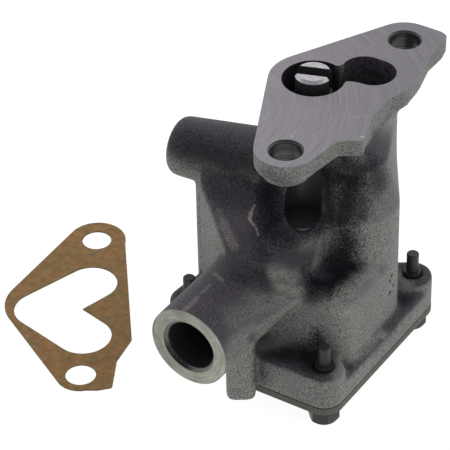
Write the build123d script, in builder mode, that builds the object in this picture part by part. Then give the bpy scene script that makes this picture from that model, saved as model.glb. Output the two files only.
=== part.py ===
"""Engine oil pump: cast iron housing, gear set, relief valve, bottom cover and mounting gasket.

Frame: origin midway between the two mounting bolts on the machined flange face, +Z out of
that face towards the engine, +Y from the front mounting bolt to the rear one. Millimetres.
"""

import math
import os

from build123d import *

os.makedirs("parts", exist_ok=True)

# ---------------------------------------------------------------- fits
press_gap = 0.01          # interference fits, drawn this much apart
running_gap = 0.04        # radial gap of a shaft or plunger in its bore
tip_gap = 0.25            # gear tooth tips to the pocket wall
end_gap = 0.08            # gear ends to the pocket roof and to the cover
thread_gap = 0.05         # bolt shank in its tapped hole
bolt_hole_gap = 0.25      # bolt shank in a plain hole
washer_gap = 0.15         # bolt shank in its lock washer
gasket_inset = 0.4        # cover gasket inside the cover's outline

# ---------------------------------------------------------------- mounting flange
bolt_spacing = 76.2       # between the two mounting bolts
bolt_hole_radius = 5.35
bolt_hole_chamfer = 0.6
flange_thickness = 6.9
lobe_pad_radius = 8.0     # thicker metal under each mounting bolt
lobe_pad_depth = 2.5
front_lobe_radius = 10.7
rear_lobe_radius = 11.0
front_lobe_shift = (-0.6, 1.2)      # the front lobe is not quite centred on its bolt
flange_corner_radius = 1.2
flange_right = [          # right edge of the flange, from the front lobe to the rear one
    (0, -40.5), (9.6, -40.5), (11.8, -24.6), (18.6, -20.6), (14.0, -7.6), (13.8, 5.0),
    (16.3, 12.0), (15.2, 22.5), (12.4, 33.0), (12.4, 42.5), (11.2, 47.8), (8.4, 49.1), (0, 49.1),
]
front_bolt = (0, -bolt_spacing / 2)
rear_bolt = (0, bolt_spacing / 2)

# ---------------------------------------------------------------- drive shaft and gears
drive_x, drive_y = -14.2, 1.65
shaft_radius = 6.35
shaft_stand = 2.8         # shaft end above the flange face
shaft_chamfer = 1.2       # down the shaft; less across its end
shaft_chamfer_across = 0.72
slot_width = 4.8
slot_depth = 7.5
slot_heading = 19.5
centre_distance = 28.575
idler_heading = -64.8     # from the drive shaft to the idler shaft, degrees from +X
gear_teeth = 10
pressure_angle = 25.0
tooth_backlash = 0.3
root_depth = 1.25         # tooth depth below the pitch circle, in modules
flank_steps = 4           # points along each involute
gear_length = 25.4
key_size = 3.2
key_length = 19.0
key_heading = 60.0
idler_x = drive_x + centre_distance * math.cos(math.radians(idler_heading))
idler_y = drive_y + centre_distance * math.sin(math.radians(idler_heading))

# ---------------------------------------------------------------- heights, from the flange down
split_z = -88.0           # joint between the housing and its bottom cover
pocket_roof_z = split_z + gear_length + 2 * end_gap
shoulder_z = -50.0        # top of the gear housing
left_case_top_z = -33.0
idler_top_z = -37.0       # upper end of the idler shaft in its open bore
waist_z = -14.5           # where the column is slimmest, under the flange
column_foot_z = -34.0
cove_z = -41.0            # where the column starts to flare out to the shoulder
bearing_top_z = -32.0     # floor of the counterbore round the drive shaft
ear_z = -75.0             # top of the bolt ears
ledge_z = -79.5           # top of the base flange between the ears
suction_roof_z = -55.0    # roof of the chamber on the suction side of the gears
outlet_roof_z = -64.0     # roof of the chamber on their outlet side
spill_floor_z = -62.0     # lower end of the relief valve's spill passage

# ---------------------------------------------------------------- housing walls
shaft_column_radius = 15.4
counterbore_radius = 10.8
port_column_radius = 10.0
port_boss_radius = 15.3
port_radius = 7.8
port_depth = 13.0
port_x, port_y = -0.7, 15.4
gear_wall = 4.6
corner_x, corner_y = 9.5, -9.5      # rounded right corner of the outlet column
corner_radius = 15.0
passage_radius = 5.0
shoulder_round = 7.5      # edge roundings of the casting
left_case_round = 4.0
base_round = 1.5
throat = [                # open channel from the shaft counterbore to the port
    (-10.2, 14.0), (-12.0, 7.0), (-6.0, 4.5), (-3.9, 6.4), (0.6, 7.7),
]

# ---------------------------------------------------------------- base flange, cover and bolts
ear_radius = 7.0
cover_bolt_places = {
    "front_right": (21.0, -47.8),
    "rear_right": (20.7, 11.4),
    "rear_left": (-38.2, 17.0),
    "front_left": (-37.9, -41.1),
}
gasket_thickness = 0.35
cover_thickness = 2.65
washer_thickness = 1.6
washer_radius = 5.6
bolt_radius = 3.175
bolt_point_radius = 2.15
bolt_point_length = 7.2
bolt_length = 26.0
head_across_flats = 9.525
head_height = 5.0
head_round_radius = 5.5   # the head's corners are turned back to this
head_chamfer = 1.0
head_turn = 17.0          # how far the hexagon is turned, degrees
bolt_end_chamfer = 0.3
split_width = 0.7         # gap of the lock washer
cover_top_z = split_z - gasket_thickness
cover_bottom_z = cover_top_z - cover_thickness
head_top_z = cover_bottom_z - washer_thickness
floor_z = head_top_z - head_height

# ---------------------------------------------------------------- inlet
inlet_x, inlet_z = -13.6, -61.5
inlet_face_y = -77.0
inlet_boss_radius = 14.7
inlet_boss_length = 45.0
inlet_bore_radius = 9.05
inlet_bore_depth = 37.0
inlet_chamfer = 1.1

foot_x, foot_y, foot_z = -5.1, -59.1, -87.7
foot_heading = 34.0
foot_width = 10.0
foot_depth = 16.0
foot_height = 26.0
foot_corner_radius = 3.0

# ---------------------------------------------------------------- relief valve
relief_start = Vector(-55.6, -21.0, -29.0)   # centre of the boss end
relief_heading = 7.0
relief_boss_radius = 10.3
relief_root_radius = 12.8
relief_root_rise = 2.2    # the boss thickens upwards towards the housing
relief_boss_length = 38.0
relief_boss_round = 3.5
relief_bore_radius = 5.5
relief_seat_depth = 33.5
plug_radius = 6.35
plug_length = 7.0
plug_recess = 0.8
plug_socket = 6.35
plug_socket_depth = 4.5
seat_gap = 0.05
plunger_length = 14.0
plunger_wall = 1.5
plunger_floor = 3.0
spring_wire = 1.1
spring_turns = 6.5
spring_radius = 3.2       # middle of the wire
feed_radius = 3.0
spill_setback = 1.5       # from the valve seat to the edge of the spill passage

# ---------------------------------------------------------------- mounting gasket, lying beside the pump
sheet_thickness = 0.5
sheet_middle = (-81.4, -42.5)
sheet_heading = 31.5      # its long axis, degrees from +Y
sheet_corner_radius = 1.2
notch_radius = 1.0        # root of the notch in the heart-shaped opening
sheet_discs = [(0.0, -37.5, 8.8), (-14.5, 1.0, 16.0), (0.0, bolt_spacing / 2, 10.7)]
sheet_right = [           # right edge, from the front lobe to the rear one
    (0, -46.0), (6.3, -46.0), (11.4, -44.6), (12.1, -30.5), (16.6, -18.9), (10.3, 40.0), (0, 40.0),
]
heart_tip = (-16.8, -2.2, 10.0)
heart_lobes = [(-0.2, 12.7, 9.5), (-0.6, -16.9, 9.9)]


def hull_of(discs):
    """Outline of a belt stretched round the given (x, y, radius) discs."""
    with BuildSketch() as outline:
        for x, y, radius in discs:
            with Locations((x, y)):
                Circle(radius)
        make_hull()
    return outline.sketch


def prism(discs, bottom_z, top_z):
    """Upright prism round the given discs, as a solid."""
    return extrude(Pos(0, 0, bottom_z) * hull_of(discs), amount=top_z - bottom_z, mode=Mode.PRIVATE)


# ---------------------------------------------------------------- shared places
drive = (drive_x, drive_y)
idler = (idler_x, idler_y)
module = centre_distance / gear_teeth
tip_radius = centre_distance / 2 + module
pocket_radius = tip_radius + tip_gap
gear_wall_radius = pocket_radius + gear_wall
relief_way = Vector(1, 0, 0).rotate(Axis.Z, relief_heading)
relief_seat = relief_start + relief_way * relief_seat_depth
feed_target = Vector(drive_x - 3, drive_y - counterbore_radius + 4, relief_start.Z)
spill = relief_seat - relief_way * (feed_radius + spill_setback)
passage = (2.0, 11.0, passage_radius)
foot_plane = Plane((foot_x, foot_y, foot_z), x_dir=(math.cos(math.radians(foot_heading)),
                   math.sin(math.radians(foot_heading)), 0), z_dir=(0, 0, 1))


def relief_plane(depth):
    """Plane across the relief bore, so far in from the end of its boss."""
    return Plane(relief_start + relief_way * depth, x_dir=(0, 0, 1), z_dir=relief_way)


def inlet_plane(depth):
    """Plane across the inlet bore, so far in from the face of its boss."""
    return Plane((inlet_x, inlet_face_y + depth, inlet_z), x_dir=(1, 0, 0), z_dir=(0, 1, 0))


# ---------------------------------------------------------------- housing
front_bulge = (-3.0, -48.2, 7.1)
ear_discs = {name: (x, y, ear_radius) for name, (x, y) in cover_bolt_places.items()}
base_discs = [*ear_discs.values(), front_bulge]
ear_roots = {
    "front_right": front_bulge,
    "rear_right": (10.0, 4.0, ear_radius),
    "rear_left": (-33.0, 6.0, ear_radius),
    "front_left": (-36.0, -28.0, ear_radius),
}
drive_column = (*drive, shaft_column_radius)
column_foot = [drive_column, (port_x, port_y, port_column_radius), (corner_x, corner_y, corner_radius)]
column_waist = [drive_column, (port_x, port_y, port_column_radius), (corner_x, corner_y, corner_radius - 4)]
shoulder_flare = [(*drive, shaft_column_radius + 5), (port_x, port_y, port_column_radius),
                  (corner_x - 0.5, corner_y - 6, corner_radius)]
column_head = [drive_column, (port_x, port_y, port_boss_radius), (8.0, -12.0, 6.0)]
gear_case = [(*drive, gear_wall_radius), (*idler, gear_wall_radius),
             (corner_x, corner_y, corner_radius), (16.5, -34.0, 8.0)]
left_case = [(-39.0, -20.0, 8.0), (-38.0, 0.0, 8.0), (*drive, shaft_column_radius)]
ramp_points = [
    (-39, -27, -22), (-18.5, -26, -21), (6, -18, -28), (-39, -32, -30),
    (-17, -46, -50.5), (-6.5, -44.6, -48.7), (9, -43, -56.5),
    (-39, -32, split_z), (-17, -46, split_z), (3, -44, split_z),
    (-40, -5, -30), (6, -5, -33), (-40, -5, split_z), (6, -5, split_z),
]
gusset_points = [
    (9, -43, -52), (10.5, -45, -52.5), (-3.2, -60, -51.3), (0.6, -60, -60), (-1.75, -60, -69.5),
    (-10, -44, -47), (-10, -60, -47.4), (-10, -40, -70), (-1.5, -44, -71),
]


def rounded_prism(discs, bottom_z, top_z, round_radius):
    """Upright prism round the given discs with its top edge rounded."""
    block = prism(discs, bottom_z, top_z)
    return block.fillet(round_radius, block.edges().group_by(Axis.Z)[-1])


with BuildPart() as relief_boss:
    with BuildSketch(relief_plane(0)):
        Circle(relief_boss_radius)
    with BuildSketch(relief_plane(relief_boss_length)):
        with Locations((relief_root_rise, 0)):
            Circle(relief_root_radius)
    loft()
    fillet(relief_boss.edges().filter_by(GeomType.CIRCLE).sort_by(Axis.X)[0], relief_boss_round)

with BuildPart() as housing:
    # flange plate
    with BuildSketch():
        with Locations((front_bolt[0] + front_lobe_shift[0], front_bolt[1] + front_lobe_shift[1])):
            Circle(front_lobe_radius)
        with Locations(rear_bolt):
            Circle(rear_lobe_radius)
        with Locations(drive):
            Circle(shaft_column_radius)
        make_hull()
        with BuildSketch(mode=Mode.PRIVATE) as right_edge:
            with BuildLine():
                Polyline(*flange_right, close=True)
            make_face()
            fillet(right_edge.vertices().sort_by(Axis.X)[2:], flange_corner_radius)
        add(right_edge.sketch)
    extrude(amount=-flange_thickness)

    # column under the flange: shaft bearing, port boss and outlet passage
    for discs_above, z_above, discs_below, z_below in (
        (column_head, -flange_thickness, column_waist, waist_z),
        (column_waist, waist_z, column_foot, column_foot_z),
        (column_foot, cove_z, shoulder_flare, shoulder_z),
    ):
        with BuildSketch(Plane.XY.offset(z_above)):
            add(hull_of(discs_above))
        with BuildSketch(Plane.XY.offset(z_below)):
            add(hull_of(discs_below))
        loft(ruled=True)
    add(prism(column_foot, shoulder_z - shoulder_round, column_foot_z))
    for bolt in (front_bolt, rear_bolt):
        add(prism([(*bolt, lobe_pad_radius)], -flange_thickness - lobe_pad_depth, -flange_thickness))

    # gear housing with a rounded shoulder, and the case on its left
    add(rounded_prism(gear_case, split_z, shoulder_z, shoulder_round))
    add(rounded_prism(left_case, split_z, left_case_top_z, left_case_round))

    # base flange and bolt ears
    add(rounded_prism(base_discs, split_z, ledge_z, base_round))
    for name, disc in ear_discs.items():
        add(rounded_prism([disc, ear_roots[name]], split_z, ear_z, base_round))

    # ramp from the relief boss down to the inlet boss, and the gusset beside it
    add(ConvexPolyhedron(ramp_points, mode=Mode.PRIVATE))
    add(ConvexPolyhedron(gusset_points, mode=Mode.PRIVATE))

    # inlet boss
    with BuildSketch(inlet_plane(0)):
        Circle(inlet_boss_radius)
    extrude(amount=inlet_boss_length)

    add(relief_boss.part)

    # foot below the inlet boss
    with BuildSketch(foot_plane):
        RectangleRounded(foot_width, foot_depth, foot_corner_radius)
    extrude(amount=foot_height)

    # gear pocket, shaft bearing and idler shaft seat
    with BuildSketch(Plane.XY.offset(split_z)):
        with Locations(drive, idler):
            Circle(pocket_radius)
    extrude(amount=pocket_roof_z - split_z, mode=Mode.SUBTRACT)
    with BuildSketch(Plane.XY.offset(split_z)):
        with Locations(drive):
            Circle(shaft_radius + running_gap)
    extrude(amount=-split_z, mode=Mode.SUBTRACT)
    with BuildSketch(Plane.XY.offset(split_z)):
        with Locations(idler):
            Circle(shaft_radius + press_gap)
    extrude(amount=-flange_thickness - split_z, mode=Mode.SUBTRACT)

    # outlet: counterbore round the shaft, port, throat between them, passage and chamber
    with BuildSketch():
        with Locations(drive):
            Circle(counterbore_radius)
    extrude(amount=bearing_top_z, mode=Mode.SUBTRACT)
    with BuildSketch():
        add(hull_of([(port_x - 1.7, port_y, port_radius), (port_x + 1.8, port_y, port_radius)]))
        with BuildLine():
            Polyline(*throat, close=True)
        make_face()
    extrude(amount=-port_depth, mode=Mode.SUBTRACT)
    add(prism([passage], split_z, -port_depth), mode=Mode.SUBTRACT)
    add(prism([passage, (7.0, -3.0, passage_radius)], split_z, outlet_roof_z), mode=Mode.SUBTRACT)

    # inlet: bore from the boss face and the chamber on the suction side of the gears
    with BuildSketch(inlet_plane(0)):
        Circle(inlet_bore_radius)
    extrude(amount=inlet_bore_depth, mode=Mode.SUBTRACT)
    add(prism([(-17.5, -38.0, 5.5), (-22.5, -22.0, 5.5)], split_z, suction_roof_z), mode=Mode.SUBTRACT)

    # relief valve: plug seat, bore, feed from the counterbore and spill to the suction side
    with BuildSketch(relief_plane(0)):
        Circle(plug_radius + press_gap)
    extrude(amount=plug_recess + plug_length, mode=Mode.SUBTRACT)
    with BuildSketch(relief_plane(0)):
        Circle(relief_bore_radius + running_gap)
    extrude(amount=relief_seat_depth, mode=Mode.SUBTRACT)
    with BuildSketch(Plane(relief_seat, z_dir=feed_target - relief_seat)):
        Circle(feed_radius)
    extrude(amount=(feed_target - relief_seat).length, mode=Mode.SUBTRACT)
    add(prism([(spill.X, spill.Y, feed_radius)], spill_floor_z, relief_start.Z), mode=Mode.SUBTRACT)

    # bolt holes
    with BuildSketch():
        with Locations(front_bolt, rear_bolt):
            Circle(bolt_hole_radius)
    extrude(amount=-flange_thickness - lobe_pad_depth, mode=Mode.SUBTRACT)
    with BuildSketch(Plane.XY.offset(split_z)):
        with Locations(*cover_bolt_places.values()):
            Circle(bolt_radius + thread_gap)
    extrude(amount=ear_z - split_z + 1, mode=Mode.SUBTRACT)
    round_edges = housing.edges().filter_by(GeomType.CIRCLE)
    bolt_hole_rims = round_edges.filter_by(lambda edge: abs(edge.radius - bolt_hole_radius) < 1e-6)
    chamfer(bolt_hole_rims.group_by(Axis.Z)[-1], bolt_hole_chamfer)
    inlet_rims = round_edges.filter_by(lambda edge: abs(edge.radius - inlet_bore_radius) < 1e-6)
    chamfer(inlet_rims.group_by(Axis.Y)[0], inlet_chamfer)

housing.part.label = "housing"
export_step(housing.part, "parts/housing.step")


# ---------------------------------------------------------------- bottom cover, its gasket and bolts
def cover_sheet(top_z, thickness, inset):
    """Flat plate of the base outline with four bolt holes."""
    discs = [(x, y, radius - inset) for x, y, radius in base_discs]
    sheet = prism(discs, top_z - thickness, top_z)
    for x, y in cover_bolt_places.values():
        sheet -= prism([(x, y, bolt_radius + bolt_hole_gap)], top_z - thickness, top_z)
    return sheet


with BuildPart() as cover_gasket:
    add(cover_sheet(split_z, gasket_thickness, gasket_inset))
    add(prism([(*drive, pocket_radius + 1)], cover_top_z, split_z), mode=Mode.SUBTRACT)
    add(prism([(*idler, pocket_radius + 1)], cover_top_z, split_z), mode=Mode.SUBTRACT)
cover_gasket.part.label = "cover_gasket"
export_step(cover_gasket.part, "parts/cover_gasket.step")

with BuildPart() as cover_plate:
    add(cover_sheet(cover_top_z, cover_thickness, 0.0))
cover_plate.part.label = "cover_plate"
export_step(cover_plate.part, "parts/cover_plate.step")

for place, (x, y) in cover_bolt_places.items():
    with BuildPart() as lock_washer:
        with BuildSketch(Plane.XY.offset(head_top_z)):
            with Locations((x, y)):
                Circle(washer_radius)
                Circle(bolt_radius + washer_gap, mode=Mode.SUBTRACT)
            with Locations((x + washer_radius / 3, y - washer_radius)):
                Rectangle(split_width, 2 * washer_radius, rotation=head_turn, mode=Mode.SUBTRACT)
        extrude(amount=washer_thickness)
    lock_washer.part.label = f"lock_washer_{place}"
    export_step(lock_washer.part, f"parts/lock_washer_{place}.step")

    with BuildPart() as cover_bolt:
        with BuildSketch(Plane.XY.offset(floor_z)):
            with Locations((x, y)):
                Circle(head_round_radius)
        extrude(amount=head_height)
        chamfer(cover_bolt.faces().sort_by(Axis.Z)[0].edges(), head_chamfer)
        with BuildSketch(Plane.XY.offset(floor_z)):
            with Locations((x, y)):
                RegularPolygon(head_across_flats / 2, 6, major_radius=False, rotation=head_turn)
        extrude(amount=head_height, mode=Mode.INTERSECT)
        with BuildSketch(Plane.XY.offset(head_top_z)):
            with Locations((x, y)):
                Circle(bolt_radius)
        extrude(amount=bolt_length - bolt_point_length)
        with BuildSketch(Plane.XY.offset(head_top_z + bolt_length - bolt_point_length)):
            with Locations((x, y)):
                Circle(bolt_point_radius)
        extrude(amount=bolt_point_length)
        chamfer(cover_bolt.faces().sort_by(Axis.Z)[-1].edges(), bolt_end_chamfer)
    cover_bolt.part.label = f"cover_bolt_{place}"
    export_step(cover_bolt.part, f"parts/cover_bolt_{place}.step")


# ---------------------------------------------------------------- gears and shafts
def involute_angle(radius, base_radius):
    """Angle swept by the involute of the base circle on its way out to a radius."""
    roll = math.acos(base_radius / radius)
    return math.tan(roll) - roll


def gear_outline(start_angle):
    """Spur gear profile whose first tooth points along the start angle."""
    pitch_radius = centre_distance / 2
    base_radius = pitch_radius * math.cos(math.radians(pressure_angle))
    root_radius = pitch_radius - root_depth * module
    inside_radius = root_radius - module / 4        # the tooth starts inside the root circle
    half_tooth = math.pi / (2 * gear_teeth) - tooth_backlash / (4 * pitch_radius)
    foot_angle = half_tooth + involute_angle(pitch_radius, base_radius)
    flank = []
    for step in range(flank_steps + 1):
        radius = base_radius + (tip_radius - base_radius) * step / flank_steps
        angle = foot_angle - involute_angle(radius, base_radius)
        flank.append((radius * math.cos(angle), radius * math.sin(angle)))
    foot = (inside_radius * math.cos(foot_angle), inside_radius * math.sin(foot_angle))
    with BuildSketch() as outline:
        Circle(root_radius)
        with BuildSketch(mode=Mode.PRIVATE) as tooth:
            with BuildLine():
                Line(foot, flank[0])
                Spline(*flank)
                ThreePointArc(flank[-1], (tip_radius, 0), (flank[-1][0], -flank[-1][1]))
                Spline(*[(x, -y) for x, y in reversed(flank)])
                Line((flank[0][0], -flank[0][1]), (foot[0], -foot[1]))
                Line((foot[0], -foot[1]), foot)
            make_face()
        with PolarLocations(0, gear_teeth, start_angle=start_angle):
            add(tooth.sketch)
    return outline.sketch


gear_plane = Plane.XY.offset(split_z + end_gap)
key_place = Location((drive_x, drive_y, 0), (0, 0, key_heading)) * Location((shaft_radius, 0, 0))

with BuildPart() as drive_gear:
    with BuildSketch(gear_plane):
        with Locations(drive):
            add(gear_outline(idler_heading))
            Circle(shaft_radius + press_gap, mode=Mode.SUBTRACT)
        with Locations(key_place):
            Rectangle(key_size + 2 * press_gap, key_size + 2 * press_gap, mode=Mode.SUBTRACT)
    extrude(amount=gear_length)
drive_gear.part.label = "drive_gear"
export_step(drive_gear.part, "parts/drive_gear.step")

with BuildPart() as drive_gear_key:
    with BuildSketch(gear_plane.offset((gear_length - key_length) / 2)):
        with Locations(key_place):
            Rectangle(key_size, key_size)
    extrude(amount=key_length)
drive_gear_key.part.label = "drive_gear_key"
export_step(drive_gear_key.part, "parts/drive_gear_key.step")

with BuildPart() as drive_shaft:
    with BuildSketch(gear_plane):
        with Locations(drive):
            Circle(shaft_radius)
    extrude(amount=shaft_stand - split_z - end_gap)
    chamfer(drive_shaft.edges().group_by(Axis.Z)[-1], shaft_chamfer, shaft_chamfer_across)
    with BuildSketch(Plane.XY.offset(shaft_stand)):
        with Locations(drive):
            Rectangle(3 * shaft_radius, slot_width, rotation=slot_heading)
    extrude(amount=-slot_depth, mode=Mode.SUBTRACT)
    with BuildSketch(gear_plane.offset((gear_length - key_length) / 2 - press_gap)):
        with Locations(key_place):
            Rectangle(key_size + 2 * press_gap, key_size + 2 * press_gap)
    extrude(amount=key_length + 2 * press_gap, mode=Mode.SUBTRACT)
drive_shaft.part.label = "drive_shaft"
export_step(drive_shaft.part, "parts/drive_shaft.step")

with BuildPart() as idler_gear:
    with BuildSketch(gear_plane):
        with Locations(idler):
            add(gear_outline(idler_heading + 180 + 180 / gear_teeth))
            Circle(shaft_radius + running_gap, mode=Mode.SUBTRACT)
    extrude(amount=gear_length)
idler_gear.part.label = "idler_gear"
export_step(idler_gear.part, "parts/idler_gear.step")

with BuildPart() as idler_shaft:
    with BuildSketch(gear_plane):
        with Locations(idler):
            Circle(shaft_radius)
    extrude(amount=idler_top_z - split_z - end_gap)
idler_shaft.part.label = "idler_shaft"
export_step(idler_shaft.part, "parts/idler_shaft.step")

# ---------------------------------------------------------------- relief valve
plug_inner = plug_recess + plug_length
plunger_face = relief_seat_depth - seat_gap
spring_end = plunger_face - plunger_floor

with BuildPart() as relief_plug:
    with BuildSketch(relief_plane(plug_recess)):
        Circle(plug_radius)
    extrude(amount=plug_length)
    with BuildSketch(relief_plane(plug_recess)):
        RegularPolygon(plug_socket / 2, 6, major_radius=False)
    extrude(amount=plug_socket_depth, mode=Mode.SUBTRACT)
relief_plug.part.label = "relief_plug"
export_step(relief_plug.part, "parts/relief_plug.step")

with BuildPart() as relief_plunger:
    with BuildSketch(relief_plane(plunger_face - plunger_length)):
        Circle(relief_bore_radius)
    extrude(amount=plunger_length)
    with BuildSketch(relief_plane(plunger_face - plunger_length)):
        Circle(relief_bore_radius - plunger_wall)
    extrude(amount=plunger_length - plunger_floor, mode=Mode.SUBTRACT)
relief_plunger.part.label = "relief_plunger"
export_step(relief_plunger.part, "parts/relief_plunger.step")

spring_length = spring_end - plug_inner - spring_wire - 2 * seat_gap
coil = relief_plane(plug_inner + seat_gap + spring_wire / 2) * Helix(
    spring_length / spring_turns, spring_length, spring_radius)

with BuildPart() as relief_spring:
    with BuildSketch(Plane(coil @ 0, z_dir=coil % 0)):
        RegularPolygon(spring_wire / 2, 6)
    sweep(path=coil)
relief_spring.part.label = "relief_spring"
export_step(relief_spring.part, "parts/relief_spring.step")

# ---------------------------------------------------------------- mounting gasket
sheet_plane = Plane((*sheet_middle, floor_z), x_dir=Vector(1, 0, 0).rotate(Axis.Z, sheet_heading),
                    z_dir=(0, 0, 1))

with BuildPart() as mounting_gasket:
    with BuildSketch(sheet_plane):
        add(hull_of(sheet_discs))
        with BuildSketch(mode=Mode.PRIVATE) as ear:
            with BuildLine():
                Polyline(*sheet_right, close=True)
            make_face()
            fillet(ear.vertices().sort_by(Axis.X)[2:], sheet_corner_radius)
        add(ear.sketch)
        with BuildSketch(mode=Mode.PRIVATE) as heart:
            for lobe in heart_lobes:
                add(hull_of([heart_tip, lobe]))
            fillet(heart.vertices().sort_by(Axis.X)[-1], notch_radius)
        add(heart.sketch, mode=Mode.SUBTRACT)
        with Locations(front_bolt, rear_bolt):
            Circle(bolt_hole_radius, mode=Mode.SUBTRACT)
    extrude(amount=sheet_thickness)
mounting_gasket.part.label = "mounting_gasket"
export_step(mounting_gasket.part, "parts/mounting_gasket.step")
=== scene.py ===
import math

import bmesh
import bpy
import numpy as np
from mathutils import Matrix, Vector


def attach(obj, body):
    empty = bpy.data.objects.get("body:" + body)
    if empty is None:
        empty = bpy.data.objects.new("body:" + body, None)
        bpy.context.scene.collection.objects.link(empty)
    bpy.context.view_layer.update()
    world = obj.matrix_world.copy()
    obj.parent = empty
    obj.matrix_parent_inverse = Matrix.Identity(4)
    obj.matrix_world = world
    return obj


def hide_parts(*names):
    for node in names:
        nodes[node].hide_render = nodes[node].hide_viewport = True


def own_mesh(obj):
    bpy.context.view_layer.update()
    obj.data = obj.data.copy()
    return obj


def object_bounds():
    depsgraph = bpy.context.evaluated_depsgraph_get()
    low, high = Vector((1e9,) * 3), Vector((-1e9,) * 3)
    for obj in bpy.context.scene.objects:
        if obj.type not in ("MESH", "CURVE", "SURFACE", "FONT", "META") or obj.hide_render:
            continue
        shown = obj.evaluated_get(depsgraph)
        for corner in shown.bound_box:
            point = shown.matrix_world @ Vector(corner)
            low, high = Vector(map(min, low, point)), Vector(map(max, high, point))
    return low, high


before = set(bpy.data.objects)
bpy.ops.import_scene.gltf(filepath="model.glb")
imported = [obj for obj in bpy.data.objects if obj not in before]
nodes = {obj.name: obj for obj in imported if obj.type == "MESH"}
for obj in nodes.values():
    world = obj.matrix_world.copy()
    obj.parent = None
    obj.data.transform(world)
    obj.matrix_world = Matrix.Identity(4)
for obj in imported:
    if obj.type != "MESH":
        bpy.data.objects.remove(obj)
cad_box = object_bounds()
MM = 0.001

# ------------------------------------------------------------------ camera
CAMERA_PLACE = Vector((360.37, -602.47, 483.69)) * MM
CAMERA_HEADING = math.radians(124.2878)
CAMERA_PITCH = math.radians(37.4986)
CAMERA_ROLL = math.radians(-1.3607)
FOCAL_PIXELS = 2554.13
FRAME_PIXELS = 450
SENSOR_MM = 36.0
CLIP_START = 0.01

forward = Vector((math.cos(CAMERA_HEADING) * math.cos(CAMERA_PITCH),
                  math.sin(CAMERA_HEADING) * math.cos(CAMERA_PITCH),
                  -math.sin(CAMERA_PITCH)))
level_right = Vector((math.sin(CAMERA_HEADING), -math.cos(CAMERA_HEADING), 0))
level_up = level_right.cross(forward)
right = level_right * math.cos(CAMERA_ROLL) + level_up * math.sin(CAMERA_ROLL)
up = level_up * math.cos(CAMERA_ROLL) - level_right * math.sin(CAMERA_ROLL)
turn = Matrix((right, up, -forward)).transposed().to_4x4()
camera_data = bpy.data.cameras.new("camera")
camera_data.sensor_width = SENSOR_MM
camera_data.lens = FOCAL_PIXELS / FRAME_PIXELS * SENSOR_MM
camera_data.clip_start = CLIP_START
camera = bpy.data.objects.new("camera", camera_data)
bpy.context.scene.collection.objects.link(camera)
camera.matrix_world = Matrix.Translation(CAMERA_PLACE) @ turn
bpy.context.scene.camera = camera

# ------------------------------------------------------------------ sizes shared with the CAD, millimetres
DRIVE = (-14.2, 1.65)                       # upright axes of the drive shaft and the idler shaft
IDLER = (-2.0334, -24.2054)
FLANGE_THICKNESS = 6.9
SPLIT_Z = -88.0                             # underside of the case, on the cover's gasket
INLET_X, INLET_Y, INLET_Z = -13.6, -77.0, -61.5
MOUNT_HOLE_REACH = 38.1                     # mounting holes, in y from the flange's middle
PORT_FROM, PORT_TO, PORT_Y, PORT_RADIUS = -2.4, 1.1, 15.4, 7.8
THROAT = [(-10.2, 14.0), (-12.0, 7.0), (-6.0, 4.5), (-3.9, 6.4), (0.6, 7.7), (0.6, 10.0)]


# ------------------------------------------------------------------ node helpers
NOISE_LOW, NOISE_HIGH = 0.3, 0.7            # most values of a noise lie between these


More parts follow.
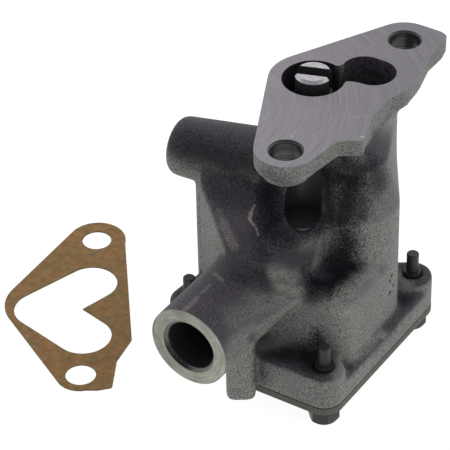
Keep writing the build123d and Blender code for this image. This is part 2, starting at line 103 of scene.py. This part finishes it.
class Graph:
    """Short hand for building a material's nodes."""

    def __init__(self, name):
        self.material = bpy.data.materials.new(name)
        self.material.use_nodes = True
        self.tree = self.material.node_tree
        self.shader = self.tree.nodes["Principled BSDF"]
        self.coords = self.tree.nodes.new("ShaderNodeTexCoord")

    def add(self, kind, **inputs):
        node = self.tree.nodes.new(kind)
        for key, value in inputs.items():
            self.feed(node, key.replace("_", " "), value)
        return node

    def feed(self, node, key, value):
        socket = node.inputs[int(key[1:])] if key[0] == "i" and key[1:].isdigit() else node.inputs[key]
        if isinstance(value, bpy.types.NodeSocket):
            self.tree.links.new(value, socket)
        else:
            socket.default_value = value

    def place(self):
        return self.coords.outputs["Object"]

    def normal(self):
        return self.coords.outputs["Normal"]

    def axes(self, vector):
        return self.add("ShaderNodeSeparateXYZ", i0=vector).outputs

    def math(self, operation, a, b=0.0, clamp=False):
        node = self.tree.nodes.new("ShaderNodeMath")
        node.operation = operation
        node.use_clamp = clamp
        self.feed(node, "i0", a)
        self.feed(node, "i1", b)
        return node.outputs[0]

    def vector(self, operation, *values, output="Vector", **named):
        node = self.tree.nodes.new("ShaderNodeVectorMath")
        node.operation = operation
        for k, value in enumerate(values):
            self.feed(node, f"i{k}", value)
        for key, value in named.items():
            self.feed(node, key, value)
        return node.outputs[output]

    def noise(self, scale, detail=2.0, rough=0.5, vector=None, output="Fac"):
        node = self.add("ShaderNodeTexNoise", Scale=scale, Detail=detail, Roughness=rough)
        self.tree.links.new(vector or self.place(), node.inputs["Vector"])
        return node.outputs[output]

    def step(self, value, low, high, low_out=0.0, high_out=1.0):
        node = self.tree.nodes.new("ShaderNodeMapRange")
        node.interpolation_type = "SMOOTHSTEP"
        for key, number in (("Value", value), ("From Min", low), ("From Max", high),
                            ("To Min", low_out), ("To Max", high_out)):
            self.feed(node, key, number)
        return node.outputs[0]

    def mottle(self, noise, darkest, lightest):
        """Grey factor between two values, from a noise."""
        return self.step(noise, NOISE_LOW, NOISE_HIGH, darkest, lightest)

    def product(self, first, *others):
        for factor in others:
            first = self.math("MULTIPLY", first, factor)
        return first

    def mix(self, factor, a, b, blend="MIX"):
        node = self.tree.nodes.new("ShaderNodeMix")
        node.data_type = "RGBA"
        node.blend_type = blend
        self.feed(node, "i0", factor)
        self.feed(node, "i6", a)
        self.feed(node, "i7", b)
        return node.outputs[2]

    def shaded(self, colour, factor):
        """Colour times a grey factor."""
        grey = self.add("ShaderNodeCombineColor", i0=factor, i1=factor, i2=factor)
        return self.mix(1.0, colour, grey.outputs[0], "MULTIPLY")

    def bump(self, height, strength, distance):
        node = self.add("ShaderNodeBump", Height=height, Strength=strength, Distance=distance)
        self.tree.links.new(node.outputs[0], self.shader.inputs["Normal"])

    def finish(self, colour, roughness, metallic=0.0, specular=0.5):
        self.feed(self.shader, "Base Color", colour)
        self.feed(self.shader, "Roughness", roughness)
        self.feed(self.shader, "Metallic", metallic)
        self.feed(self.shader, "Specular IOR Level", specular)
        return self.material


def rgb(colour):
    return (*colour, 1.0)


def capsule_distance(g, place, start, end):
    """Distance in metres from a place to the line between two points given in millimetres."""
    start, end = Vector(start) * MM, Vector(end) * MM
    along = end - start
    if along.length == 0:
        return g.vector("DISTANCE", place, tuple(start), output="Value")
    offset = g.vector("SUBTRACT", place, tuple(start))
    share = g.math("DIVIDE", g.vector("DOT_PRODUCT", offset, tuple(along), output="Value"),
                   along.length_squared, clamp=True)
    return g.vector("DISTANCE", offset, g.vector("SCALE", tuple(along), Scale=share), output="Value")


def wandering_place(g, size):
    """Object coordinates pushed about by noise, so that painted patches get ragged edges."""
    wander = g.noise(150.0, 5.0, 0.6, output="Color")
    pushed = g.vector("MULTIPLY_ADD", wander, (size, size, size), g.place())
    return g.vector("SUBTRACT", pushed, (size / 2, size / 2, size / 2))


def coverage(g, place, patches, dither, sharpness=0.1, spread=1.3):
    """How far the given patches cover a place; each is (start, end, radius, strength), millimetres."""
    covered = 0.0
    for start, end, radius, strength in patches:
        reach = g.math("ADD", capsule_distance(g, place, start, end), dither)
        spot = g.step(reach, sharpness * radius * MM, spread * radius * MM, strength, 0.0)
        covered = g.math("MAXIMUM", spot, covered)
    return covered


# ------------------------------------------------------------------ materials
LUMPS, CLOUDS, GRAIN, PIMPLES = 90, 45, 1600, 1100      # noise cells to the metre of the cast surface
SHELTER_REACH, SHELTER_SAMPLES = 0.02, 12               # how near a wall paints shade into a recess
TOP_FADE = (-0.05, 0.6)                                 # from a side painted lighter to a top painted darker, by the normal's z
SHELTER_FADE = (0.12, 0.72)                             # from painted shade in a recess to the open
FRONT_FADE = (-0.2, 0.0)                                # from a wall turned away to the side with painted shade and light
GRAIN_FADE = (0.34, 0.66)
CAST_ROUGHNESS, CAST_SHINE, PATINA_AND_SHADE_DULLING = 0.62, 0.35, 0.3
PATCH_WANDER, PATCH_DITHER = 0.006, 0.012               # metres
MARK_WANDER, MARK_DITHER, NICK_WANDER = 0.0022, 0.001, 0.0015
PIT_EDGE, MARK_EDGE = (0.4, 1.0), (0.5, 1.1)            # shares of the radius where a mark fades and ends
MILLED_FADE = (-40 * MM, 30 * MM, 1.1, 0.84)            # painted shade aslant across the flange, and the grey factor at both ends
TURNED_FADE = (-10 * MM, 14 * MM, 0.92, 1.22)           # painted reflection: darker to the left and lighter to the right of the turned face's centre
BORED_STRETCH = (70.0, 70.0, 2200.0)                    # noise drawn out into rings round an upright bore
PAPER_BLOTCHES, PAPER_SPOTS, PAPER_FIBRES = 130, 420, 1200


def cast_material(name, top, side, recess_shade, speckle=0.6, patina_and_shade=(), painted_light=(), marks=()):
    """Rough cast iron, purple on top and greener on its sides, with painted shade darkening its tops and
    recesses and painted light lightening its sides.
    """
    g = Graph(name)
    lumps = g.math("SUBTRACT", g.noise(LUMPS, 3.0), 0.5)
    grain = g.noise(GRAIN, 4.0, 0.7)
    dither = g.math("SUBTRACT", grain, 0.5)
    # painted light: tops are painted darker as shade and sides lighter as light, by the normal's z
    facing = g.math("ADD", g.axes(g.normal())[2],
                    g.math("ADD", g.product(lumps, 0.5), g.product(dither, 0.8)))
    tint = g.mix(g.step(facing, *TOP_FADE), rgb(side), rgb(top))
    # painted shade: recesses near a wall take the recess colour
    shelter = g.add("ShaderNodeAmbientOcclusion", Distance=SHELTER_REACH)
    shelter.samples = SHELTER_SAMPLES
    open_sky = g.math("ADD", shelter.outputs["AO"],
                      g.math("ADD", g.product(lumps, 0.25), g.product(dither, 0.5)))
    tint = g.mix(g.step(open_sky, *SHELTER_FADE), rgb(recess_shade), tint)
    shine = CAST_SHINE
    if patina_and_shade:
        place = wandering_place(g, PATCH_WANDER)
        spread = g.product(dither, PATCH_DITHER)
        front = g.step(g.vector("DOT_PRODUCT", g.normal(), PATCHED_SIDE, output="Value"), *FRONT_FADE)
        # painted light: the listed patches are painted a light iron colour
        tint = g.mix(g.product(coverage(g, place, painted_light, spread), front), tint, rgb(PAINTED_LIGHT))
        # painted shade over dark phosphate patina in the listed dark patches; the pits are real
        black = g.product(coverage(g, place, patina_and_shade, spread), front)
        for centre, radius in PITS:
            pit = coverage(g, g.place(), [(centre, centre, radius, 1.0)], 0.0, *PIT_EDGE)
            black = g.math("MAXIMUM", pit, black)
        tint = g.mix(black, tint, rgb(PATINA_AND_SHADE_BLACK))
        shine = g.math("SUBTRACT", CAST_SHINE, g.product(black, PATINA_AND_SHADE_DULLING))
        place = wandering_place(g, MARK_WANDER)
        rubbed = coverage(g, place, marks, g.product(dither, MARK_DITHER), *MARK_EDGE)
        tint = g.mix(rubbed, tint, rgb(RUBBED))
    grains = g.step(grain, *GRAIN_FADE, 1 - speckle, 1 + speckle)
    shade = g.mottle(g.noise(CLOUDS, 4.0), 0.86, 1.12)
    g.bump(g.noise(PIMPLES, 3.0, 0.65), strength=0.55, distance=0.00035)
    return g.finish(g.shaded(tint, g.product(grains, shade)), CAST_ROUGHNESS, specular=shine)


def polar(g, centre, plane):
    """Distance in metres and angle round a centre, in millimetres, across the given pair of axes."""
    axes = g.axes(g.place())
    a = g.math("SUBTRACT", axes[plane[0]], centre[0] * MM)
    b = g.math("SUBTRACT", axes[plane[1]], centre[1] * MM)
    reach = g.math("SQRT", g.math("ADD", g.product(a, a), g.product(b, b)))
    return reach, g.math("ARCTAN2", b, a)


def streaks(g, reach, angle, per_metre, per_radian):
    """Noise drawn out along circles."""
    place = g.add("ShaderNodeCombineXYZ", i0=g.product(reach, per_metre), i1=g.product(angle, per_radian))
    return g.noise(1.0, 2.0, 0.6, place.outputs[0])


def milled_material(name, colour, roughness):
    """Face milled in long arcs, with painted shade a little darker towards the rear lobe and painted
    highlights on its burrs.
    """
    g = Graph(name)
    reach, angle = polar(g, MILL_CENTRE, (0, 1))
    fine = streaks(g, reach, angle, per_metre=3200.0, per_radian=4.0)
    broad = streaks(g, reach, angle, per_metre=500.0, per_radian=1.2)
    axes = g.axes(g.place())
    # painted shade: darker aslant towards the rear lobe
    aslant = g.math("ADD", axes[0], g.product(axes[1], 0.7))
    fade = g.step(aslant, *MILLED_FADE)
    specks = g.mottle(g.noise(1500, 2.0), 0.93, 1.07)
    shade = g.product(g.mottle(fine, 0.84, 1.16), g.mottle(broad, 0.96, 1.04), specks, fade)
    # painted highlights on the burrs
    nick_highlights = coverage(g, wandering_place(g, NICK_WANDER), NICK_HIGHLIGHTS, 0.0, *MARK_EDGE)
    g.bump(fine, strength=0.15, distance=0.00003)
    return g.finish(g.mix(nick_highlights, g.shaded(rgb(colour), shade), rgb(NICK_HIGHLIGHT_COLOUR)), roughness, metallic=0.3)


def turned_material(name, colour, centre, roughness):
    """Face turned about a centre, with rings and a few dull patches, and a painted reflection lighter on its
    right.
    """
    g = Graph(name)
    reach, angle = polar(g, centre, (0, 2))
    fine = streaks(g, reach, angle, per_metre=1500.0, per_radian=1.5)
    broad = streaks(g, reach, angle, per_metre=500.0, per_radian=1.0)
    patches = g.step(g.noise(220, 3.0), 0.35, 0.65, 0.85, 1.1)
    # painted reflection: lighter to the right of the centre
    side = g.step(g.math("SUBTRACT", g.axes(g.place())[0], centre[0] * MM), *TURNED_FADE)
    shade = g.product(g.mottle(fine, 0.82, 1.15), g.mottle(broad, 0.82, 1.1), patches, side)
    g.bump(fine, strength=0.2, distance=0.00006)
    return g.finish(g.shaded(rgb(colour), shade), roughness, metallic=0.2)


def bored_material(name, colour, roughness, metallic):
    """Bore with fine rings round its upright axis."""
    g = Graph(name)
    rings = g.noise(1.0, 2.0, 0.6, g.vector("MULTIPLY", g.place(), BORED_STRETCH))
    g.bump(rings, strength=0.4, distance=0.0001)
    return g.finish(g.shaded(rgb(colour), g.mottle(rings, 0.45, 1.6)), roughness, metallic)


def paper_material(name, reddish, olive, edge):
    """Jointing paper, mottled, darker on its cut edge."""
    g = Graph(name)
    tint = g.mix(g.step(g.noise(PAPER_BLOTCHES, 5.0, 0.6), 0.38, 0.62), rgb(reddish), rgb(olive))
    tint = g.mix(g.step(g.axes(g.normal())[2], 0.3, 0.8), rgb(edge), tint)
    g.bump(g.noise(PAPER_FIBRES, 3.0), strength=0.25, distance=0.0001)
    return g.finish(g.shaded(tint, g.mottle(g.noise(PAPER_SPOTS, 3.0, 0.6), 0.82, 1.16)), 0.85, specular=0.3)


def plain_material(name, colour, roughness, metallic=0.0, specular=0.5, grain=0.12, scale=700.0):
    """One colour with a faint grain."""
    g = Graph(name)
    shade = g.mottle(g.noise(scale, 3.0), 1 - grain, 1 + grain)
    g.bump(g.noise(scale * 1.5, 3.0), strength=0.25, distance=0.0001)
    return g.finish(g.shaded(rgb(colour), shade), roughness, metallic, specular)


# Painted patches are (start, end, radius, strength) in millimetres.
MILL_CENTRE = (-51.0, -38.0)
# painted shade colour for recesses
RECESS_SHADE = (0.016, 0.013, 0.018)
# colour of the painted light patches
PAINTED_LIGHT = (0.23, 0.24, 0.215)
# painted highlight colour of the burrs
NICK_HIGHLIGHT_COLOUR = (0.42, 0.4, 0.41)
# dark phosphate patina with painted shade
PATINA_AND_SHADE_BLACK = (0.009, 0.0065, 0.0105)
RUBBED = (0.19, 0.165, 0.175)
PATCHED_SIDE = (0.46, -0.68, 0.57)      # painted shade, patina and painted light fade out on walls that turn away from here
# dark phosphate patina with painted shade: on the left of the case, round the idler bore, under the flange,
# on the shoulder
PATINA_AND_SHADE = [
    ((-46, -29, -22), (-20, -28, -22), 10, 0.65),
    ((-31, -33, -31), (-17, -32, -30), 8, 0.5),
    ((-30, -29, -24), (-20, -30, -26), 5, 0.75),
    ((-13, -30, -28), (-8, -34, -35), 8.5, 0.97),
    ((-9, -36, -38), (-3, -34, -38), 6.5, 0.75),
    ((-11, -39, -41), (-8, -41, -43), 5, 0.5),
    ((4, -20, -19), (15, -20, -18), 8, 0.97),
    ((5, -21, -20), (9, -24, -33), 8, 0.93),
    ((14, -20, -20), (13, -24, -33), 7.5, 0.93),
    ((17, -20, -25), (18, -20, -30), 4.5, 0.75),
    ((19, -15, -14), (21, -13, -20), 6, 0.7),
    ((11, -20, -13), (17, -17, -14), 4.5, 0.75),
    ((0, -30, -37), (5, -28, -37), 4, 0.6),
    ((14, -23, -39), (14, -24, -48), 6.5, 0.93),
    ((12, -38, -50), (16, -36, -50), 6.5, 0.97),
    ((15, -36, -50), (17, -30, -50), 6, 0.97),
    ((14, -30, -50), (17, -25, -50), 5.5, 0.93),
    ((-10, -52, -48), (-5, -47, -49), 5, 0.45),
    ((15, -43, -68), (15, -43, -74), 4, 0.8),
    ((13, -47, -75), (20, -49, -75), 6, 0.85),
    ((6, -51, -75), (12, -49, -75), 5, 0.6),
    ((2, -61, -66), (2, -61, -80), 2.5, 0.5),
    ((0, -48, -4), (6, -46, -7), 4, 0.35),
    ((27, -41, -80), (29, -12, -81), 2, 0.4),
    ((22, 0, -80), (24, 1, -80), 4, 0.5),
]
PITS = [        # small dark pits on the right of the case: centre, radius
    ((24.5, -9.8, -60.6), 0.9), ((24.5, -10.9, -62.2), 0.8),
    ((24.4, -8.6, -65.6), 0.9), ((24.5, -10.7, -67.4), 1.0),
]
PAINTED_LIGHT_PATCHES = [        # painted light: ridge beside the inlet, rim of the shoulder, behind the foot, above the base
    ((-1, -42, -49), (4, -41, -50), 4.5, 0.9),
    ((3, -45, -51), (7, -44, -51), 4.5, 1.0),
    ((4, -50, -51), (8, -47, -52), 5, 0.6),
    ((20, -40, -53), (22, -32, -52), 4.5, 0.75),
    ((22, -30, -52), (23, -19, -53), 4, 0.7),
    ((23, -38, -56), (19, -41, -55), 5, 0.6),
    ((-1, -56, -51), (3, -52, -52), 5, 0.4),
    ((-2, -66, -52), (-1, -57, -53), 6, 0.3),
    ((0, -70, -58), (1, -62, -58), 5, 0.35),
    ((-3, -49, -75), (0, -46, -72), 6, 0.75),
    ((26, -48, -75), (24, -42, -77), 4, 0.75),
    ((25, -36, -79), (26, -19, -79), 3.2, 0.7),
    ((3, -33, -42), (8, -28, -40), 3, 0.35),
    ((22, 4, -75), (18, 8, -75), 4, 0.7),
    ((16, -17, -9), (14, -17, -11), 4, 0.5),
]
MARKS = [       # rubbed streaks, a sliver of casting flash, a pale patch
    ((-28, -37, -37), (-25, -38.5, -39.5), 1.5, 0.25),
    ((-25, -38.5, -39.5), (-18.5, -42, -44.5), 2.2, 0.45),
    ((-18, -54.5, -47.5), (-13.5, -57, -47), 1.0, 0.5),
    ((-15.5, -61, -47), (-15.3, -66, -47), 0.9, 0.35),
    ((-15.2, -69, -47), (-15, -76, -47), 1.3, 0.45),
    ((-15.6, -33.3, -31.8), (-16.1, -34.8, -33.9), 0.5, 1.0),
    ((-16.1, -34.8, -33.9), (-15.7, -35.9, -35.7), 0.9, 1.0),
    ((-15.7, -35.9, -35.7), (-13.7, -36.7, -36.9), 0.6, 1.0),
    ((-13.7, -36.7, -36.9), (-10.6, -38.5, -39.5), 0.4, 0.9),
    ((18.5, -54.9, -85.4), (23, -54.6, -85.5), 1.2, 0.8),
]
NICK_HIGHLIGHTS = [       # burrs on the milled face, painted as bright highlights
    ((16.8, -18.9, 0), (17.8, -18.2, 0), 0.45, 0.8),
    ((-3.5, -30.2, 0), (-2.2, -30.6, 0), 0.35, 0.6),
    ((3.1, -26.2, 0), (3.6, -25.8, 0), 0.4, 0.5),
    ((7.4, -11.5, 0), (12.7, -7.6, 0), 0.2, 0.4),
]
# cast colours: tops painted darker as shade, sides painted lighter as light, recesses painted shade
CAST = cast_material("cast_iron_phosphate", (0.047, 0.041, 0.051), (0.155, 0.162, 0.149), RECESS_SHADE,
                     patina_and_shade=PATINA_AND_SHADE, painted_light=PAINTED_LIGHT_PATCHES, marks=MARKS)
FACE = milled_material("milled_face", (0.215, 0.2, 0.225), 0.42)
RING = turned_material("turned_face", (0.25, 0.265, 0.215), (INLET_X, INLET_Z), 0.4)
BORE = bored_material("bored_wall", (0.06, 0.065, 0.06), 0.35, 0.8)
# inlet chamfer: painted shade on its left, painted light on its right
CHAMFER = cast_material("inlet_chamfer", (0.15, 0.155, 0.135), (0.15, 0.155, 0.135), RECESS_SHADE, 0.15,
                        patina_and_shade=[((-22, -77, -66), (-16, -77, -71), 4.5, 0.9)],
                        painted_light=[((-6, -77, -69), (-5, -77, -65), 4, 0.6)])
# painted shade: near-black walls of the well, the inlet bore and the idler hole
BORE_SHADE = plain_material("bore_wall_painted_shade", (0.018, 0.014, 0.02), 0.5)
PORT_WALL = plain_material("port_wall", (0.055, 0.046, 0.06), 0.6, 0.0, 0.4, 0.6, 800.0)
COVER = cast_material("cover_phosphate", (0.06, 0.055, 0.062), (0.078, 0.082, 0.06), RECESS_SHADE, 0.2)
BOLT = plain_material("bolt_phosphate", (0.022, 0.023, 0.025), 0.45, 0.3)
JOINT = plain_material("joint_paper", (0.012, 0.012, 0.014), 0.8)
PAPER = paper_material("gasket_paper", (0.275, 0.15, 0.06), (0.235, 0.15, 0.06), (0.12, 0.09, 0.04))
GROUND = plain_material("ground_steel", (0.42, 0.4, 0.43), 0.28, 0.9)
# painted shade: dark steel for the shaft sides and slot, and the idler shaft
SHAFT_SHADE = plain_material("shaft_painted_shade", (0.06, 0.054, 0.06), 0.35, 0.5)
GEAR = plain_material("gear_steel", (0.25, 0.25, 0.26), 0.45, 0.8)

# ------------------------------------------------------------------ cast housing
VOXEL = 0.7 * MM
SMOOTH_ROUNDS, SMOOTH_FACTOR = 6, 0.5
SHARP_ANGLE = math.radians(32)
WELD = 1e-6                         # metres
SPARE = 3.0                         # stock added outside the machined faces before they are cut
TOUCH = 0.01                        # how near a machined face its points lie
ABOVE = 5                           # how far cutters start outside the face they open
DOWN, INWARD = (0, 0, -1), (0, 1, 0)
# boxes that take off the spare stock, each with one side on a machined face
TOP_BOX = (-60, -90, 0), (60, 90, 20)
BOTTOM_BOX = (-80, -90, SPLIT_Z - 20), (60, 90, SPLIT_Z)
MOUTH_BOX = (-40, -95, -90), (20, INLET_Y, -30)
# round cutters: radius, length and, for a taper, the radius at its far end
MOUNT_HOLE, MOUNT_RIM = (5.35, 14.6), (5.97, 0.62, 5.33)
WELL, BEARING = (10.8, 37), (6.39, 60)
INLET, INLET_RIM = (9.05, 41), (10.16, 1.12, 9.04)
IDLER_HOLE = (6.36, 31)
BEARING_TOP = -20
PORT_FLOOR, THROAT_FLOOR = -13, -12.9
OUTLET_WALL_RADIUS = 21.99          # outside of the case round the drive gear
OUTLET_WALL_ARC, OUTLET_WALL_STEPS = math.radians(24), 8
CORNER, CORNER_RADIUS = (9.5, -9.5), 15.0
WALL_DEPTH = 2.5
OUTLET_WALL_SPAN = (-83.0, -55.0)


def new_object(name, mesh):
    piece = bpy.data.objects.new(name, mesh)
    bpy.context.scene.collection.objects.link(piece)
    return piece


def mesh_object(name, bm):
    mesh = bpy.data.meshes.new(name)
    bm.to_mesh(mesh)
    bm.free()
    return new_object(name, mesh)


def apply_modifiers(piece):
    bpy.context.view_layer.update()
    depsgraph = bpy.context.evaluated_depsgraph_get()
    mesh = bpy.data.meshes.new_from_object(piece.evaluated_get(depsgraph))
    old = piece.data
    piece.modifiers.clear()
    piece.data = mesh
    bpy.data.meshes.remove(old)


def cylinder(name, start, way, radius, length, end_radius=None, segments=96):
    """Round cutter from a start point along a direction, millimetres."""
    bm = bmesh.new()
    bmesh.ops.create_cone(bm, cap_ends=True, segments=segments, radius1=radius * MM,
                          radius2=(radius if end_radius is None else end_radius) * MM, depth=length * MM)
    way = Vector(way).normalized()
    turned = Vector((0, 0, 1)).rotation_difference(way).to_matrix().to_4x4()
    middle = (Vector(start) + way * length / 2) * MM
    bm.transform(Matrix.Translation(middle) @ turned)
    return mesh_object(name, bm)


def block(name, low, high):
    bm = bmesh.new()
    bmesh.ops.create_cube(bm, size=1.0)
    size = [(b - a) * MM for a, b in zip(low, high)]
    middle = [(a + b) / 2 * MM for a, b in zip(low, high)]
    bm.transform(Matrix.Translation(middle) @ Matrix.Diagonal((*size, 1.0)))
    return mesh_object(name, bm)


def stadium_outline(x0, x1, y, radius, steps=48):
    """Outline of a slot between two circle centres, millimetres."""
    outline = []
    for x, first in ((x0, 90), (x1, -90)):
        for k in range(steps + 1):
            a = math.radians(first + 180 * k / steps)
            outline.append((x + radius * math.cos(a), y + radius * math.sin(a)))
    return outline


def upright(name, outline, bottom, top):
    """Upright cutter from an outline, millimetres."""
    bm = bmesh.new()
    face = bm.faces.new([bm.verts.new((x * MM, y * MM, bottom * MM)) for x, y in outline])
    made = bmesh.ops.extrude_face_region(bm, geom=[face])["geom"]
    bmesh.ops.translate(bm, verts=[v for v in made if isinstance(v, bmesh.types.BMVert)],
                        vec=(0, 0, (top - bottom) * MM))
    bmesh.ops.recalc_face_normals(bm, faces=bm.faces)
    return mesh_object(name, bm)


def cut(body, cutter, material):
    """Takes the cutter out of the body; the new walls get the material."""
    cutter.data.materials.append(material)
    modifier = body.modifiers.new("cut", "BOOLEAN")
    modifier.operation = "DIFFERENCE"
    modifier.solver = "MANIFOLD"
    modifier.object = cutter
    if material.name not in [m.name for m in body.data.materials]:
        body.data.materials.append(material)
    apply_modifiers(body)
    bpy.data.objects.remove(cutter)


def read_points(mesh):
    points = np.empty(len(mesh.vertices) * 3)
    mesh.vertices.foreach_get("co", points)
    return points.reshape(-1, 3)


def smooth_points(mesh, rounds, factor):
    """Evens out a dense mesh, which rounds its edges as casting does."""
    points = read_points(mesh)
    edges = np.empty(len(mesh.edges) * 2, int)
    mesh.edges.foreach_get("vertices", edges)
    edges = edges.reshape(-1, 2)
    degree = np.bincount(edges.ravel(), minlength=len(points))[:, None]
    for _ in range(rounds):
        total = np.zeros_like(points)
        for axis in range(3):
            total[:, axis] = (np.bincount(edges[:, 0], points[edges[:, 1], axis], len(points))
                              + np.bincount(edges[:, 1], points[edges[:, 0], axis], len(points)))
        points += (total / degree - points) * factor
    mesh.vertices.foreach_set("co", points.ravel())
    mesh.update()


def outlet_wall():
    """Outline of the wall outside the outlet passage: round the drive gear, then straight to the corner."""
    centre, corner = Vector(DRIVE), Vector(CORNER)
    apart = corner - centre
    lean = math.atan2(apart.y, apart.x) + math.acos((OUTLET_WALL_RADIUS - CORNER_RADIUS) / apart.length)
    outline = []
    for depth, order in ((0.0, 1), (WALL_DEPTH, -1)):
        line = []
        for k in range(OUTLET_WALL_STEPS + 1):
            a = lean + OUTLET_WALL_ARC * (1 - k / OUTLET_WALL_STEPS)
            line.append(centre + Vector((math.cos(a), math.sin(a))) * (OUTLET_WALL_RADIUS - depth))
        line.append(corner + Vector((math.cos(lean), math.sin(lean))) * (CORNER_RADIUS - depth))
        outline += line[::order]
    return [tuple(point) for point in outline]


def housing_stock():
    """Copy of the CAD housing with spare stock outside its machined faces and the outlet wall joined on."""
    mesh = nodes["housing"].data.copy()
    points = read_points(mesh)
    points[points[:, 2] > -TOUCH * MM, 2] += SPARE * MM
    points[points[:, 2] < (SPLIT_Z + TOUCH) * MM, 2] -= SPARE * MM
    points[points[:, 1] < (INLET_Y + TOUCH) * MM, 1] -= SPARE * MM
    mesh.vertices.foreach_set("co", points.ravel())
    mesh.materials.clear()
    mesh.materials.append(CAST)
    for polygon in mesh.polygons:
        polygon.material_index = 0
    wall = upright("outlet_wall", outlet_wall(), *OUTLET_WALL_SPAN)
    bm = bmesh.new()
    bm.from_mesh(mesh)
    bmesh.ops.remove_doubles(bm, verts=bm.verts, dist=WELD)
    bm.from_mesh(wall.data)
    bm.to_mesh(mesh)
    bm.free()
    bpy.data.objects.remove(wall)
    return new_object("housing_cast", mesh)


def machine(body):
    """Cuts the faces, holes and ports that are machined into the casting."""
    cut(body, block("top", *TOP_BOX), FACE)
    cut(body, block("bottom", *BOTTOM_BOX), JOINT)
    cut(body, block("mouth", *MOUTH_BOX), RING)
    for y in (-MOUNT_HOLE_REACH, MOUNT_HOLE_REACH):
        cut(body, cylinder("hole", (0, y, ABOVE), DOWN, *MOUNT_HOLE), BORE)
        cut(body, cylinder("rim", (0, y, TOUCH), DOWN, *MOUNT_RIM), BORE)
    cut(body, cylinder("well", (*DRIVE, ABOVE), DOWN, *WELL), BORE_SHADE)
    cut(body, cylinder("bearing", (*DRIVE, BEARING_TOP), DOWN, *BEARING), BORE)
    port = stadium_outline(PORT_FROM, PORT_TO, PORT_Y, PORT_RADIUS)
    cut(body, upright("port", port, PORT_FLOOR, ABOVE), PORT_WALL)
    cut(body, upright("throat", THROAT, THROAT_FLOOR, ABOVE), PORT_WALL)
    mouth, rim = (INLET_X, INLET_Y - ABOVE, INLET_Z), (INLET_X, INLET_Y - TOUCH, INLET_Z)
    cut(body, cylinder("inlet", mouth, INWARD, *INLET), BORE_SHADE)
    cut(body, cylinder("inlet_rim", rim, INWARD, *INLET_RIM), CHAMFER)
    cut(body, cylinder("idler_hole", (*IDLER, -FLANGE_THICKNESS + TOUCH), DOWN, *IDLER_HOLE), BORE_SHADE)


def cast_housing():
    body = housing_stock()
    remesh = body.modifiers.new("remesh", "REMESH")
    remesh.mode = "VOXEL"
    remesh.voxel_size = VOXEL
    apply_modifiers(body)
    smooth_points(body.data, SMOOTH_ROUNDS, SMOOTH_FACTOR)
    machine(body)
    body.data.set_sharp_from_angle(angle=SHARP_ANGLE)
    for polygon in body.data.polygons:
        polygon.use_smooth = True
    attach(body, "pump")
    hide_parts("housing")


cast_housing()


# ------------------------------------------------------------------ relief spring, copied unchanged from the CAD; in the pump the plunger squeezes it
def squeezed_spring():
    spring = new_object("relief_coil", nodes["relief_spring"].data.copy())
    spring.data.materials.clear()
    spring.data.materials.append(GEAR)
    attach(spring, "pump")
    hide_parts("relief_spring")
    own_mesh(spring)


squeezed_spring()

# ------------------------------------------------------------------ materials of the CAD nodes
SURFACES = {
    "cover_plate": COVER, "cover_gasket": JOINT, "drive_shaft": GROUND, "drive_gear": GEAR,
    "drive_gear_key": GEAR, "idler_gear": GEAR, "idler_shaft": SHAFT_SHADE, "relief_plunger": GROUND,
    "relief_plug": BOLT, "mounting_gasket": PAPER,
}
for name, node in nodes.items():
    if name not in ("housing", "relief_spring"):
        node.data.materials.clear()
        node.data.materials.append(SURFACES.get(name, BOLT))

STEEPNESS = 0.4                     # faces of the shaft that point up or down less than this are its sides, painted dark as shade
SLOT_RIM = -1.0                     # faces lower than this lie in its slot, painted dark as shade
shaft = nodes["drive_shaft"].data
shaft.materials.append(SHAFT_SHADE)
for polygon in shaft.polygons:
    if abs(polygon.normal.z) < STEEPNESS or polygon.center.z < SLOT_RIM * MM:
        polygon.material_index = 1

# ------------------------------------------------------------------ floor and light
FLOOR_REACH, FLOOR_GAP = 3.0, 0.0001
FLOOR_GLOW, FLOOR_GREY = 0.94, 0.18
DIM_SIDE = (0.3, -0.85, 0.43)       # the room is darker on the side towards the viewer
WHITE = rgb((1.0, 1.0, 1.0))
floor_mesh = bpy.data.meshes.new("floor")
floor_z = cad_box[0][2] - FLOOR_GAP
corners = [(x * FLOOR_REACH, y * FLOOR_REACH, floor_z) for x, y in ((-1, -1), (1, -1), (1, 1), (-1, 1))]
floor_mesh.from_pydata(corners, [], [(0, 1, 2, 3)])
floor = new_object("floor", floor_mesh)
paint = Graph("floor_white")
paint.feed(paint.shader, "Emission Color", WHITE)
paint.feed(paint.shader, "Emission Strength", FLOOR_GLOW)
floor_mesh.materials.append(paint.finish(rgb((FLOOR_GREY,) * 3), 0.9, specular=0.0))

world = bpy.data.worlds.new("studio")
bpy.context.scene.world = world
world.use_nodes = True
sky = world.node_tree
way = sky.nodes.new("ShaderNodeTexCoord")
towards = sky.nodes.new("ShaderNodeVectorMath")
towards.operation = "DOT_PRODUCT"
towards.inputs[1].default_value = DIM_SIDE
sky.links.new(way.outputs["Generated"], towards.inputs[0])
ramp = sky.nodes.new("ShaderNodeMapRange")
ramp.interpolation_type = "SMOOTHSTEP"
sky.links.new(towards.outputs["Value"], ramp.inputs["Value"])
for key, number in (("From Min", -0.1), ("From Max", 0.95), ("To Min", 1.15), ("To Max", 0.5)):
    ramp.inputs[key].default_value = number
background = sky.nodes["Background"]
sky.links.new(ramp.outputs[0], background.inputs["Strength"])
background.inputs["Color"].default_value = WHITE
bpy.context.scene.view_settings.view_transform = "Standard"
